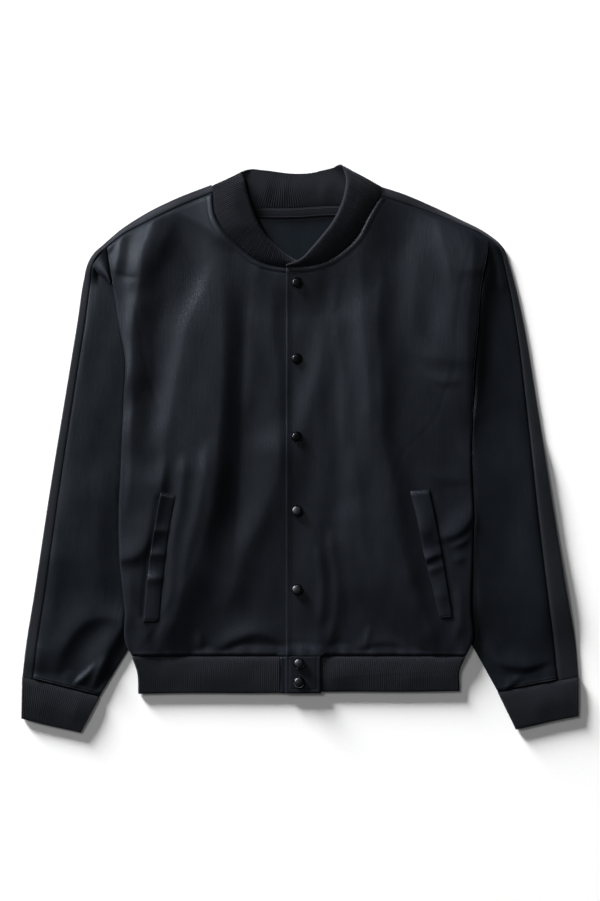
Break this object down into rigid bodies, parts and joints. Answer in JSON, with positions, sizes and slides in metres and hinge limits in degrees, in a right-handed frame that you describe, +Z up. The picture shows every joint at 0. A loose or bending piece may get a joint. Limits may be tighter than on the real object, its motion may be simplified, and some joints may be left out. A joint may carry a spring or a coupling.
{
  "type": "track jacket",
  "caption": "Bomber-style tricot track jacket with striped sleeves, rib collar, cuffs and hem, and a snapped front, laid flat face up.",
  "frame": {"origin": "middle of the jacket's outline, on the surface that it lies on", "axes": "+Z up from the surface, +Y from the hem to the collar, +X towards the wearer's left"},
  "size_m": [0.7432, 0.7571, 0.0161],
  "materials": {
    "tricot": "navy-black warp-knit tricot with a soft satin sheen",
    "knit": "matte charcoal knit",
    "snap_metal": "glossy black enamel"
  },
  "bodies": {
    "root": {"back": "tricot", "front_right": "tricot", "front_left": "tricot", "sleeve_right": "tricot", "sleeve_left": "tricot", "hem_block_right": "tricot", "hem_block_left": "tricot", "pocket_welt_right": "tricot", "pocket_welt_left": "tricot", "stripe_right": "knit", "stripe_left": "knit", "collar": "knit", "neck_tape": "knit", "hem_rib": "knit", "cuff_right": "knit", "cuff_left": "knit", "snap_1": "snap_metal", "snap_2": "snap_metal", "snap_3": "snap_metal", "snap_4": "snap_metal", "snap_5": "snap_metal", "snap_6": "snap_metal", "snap_7": "snap_metal"}
  },
  "joints": []
}
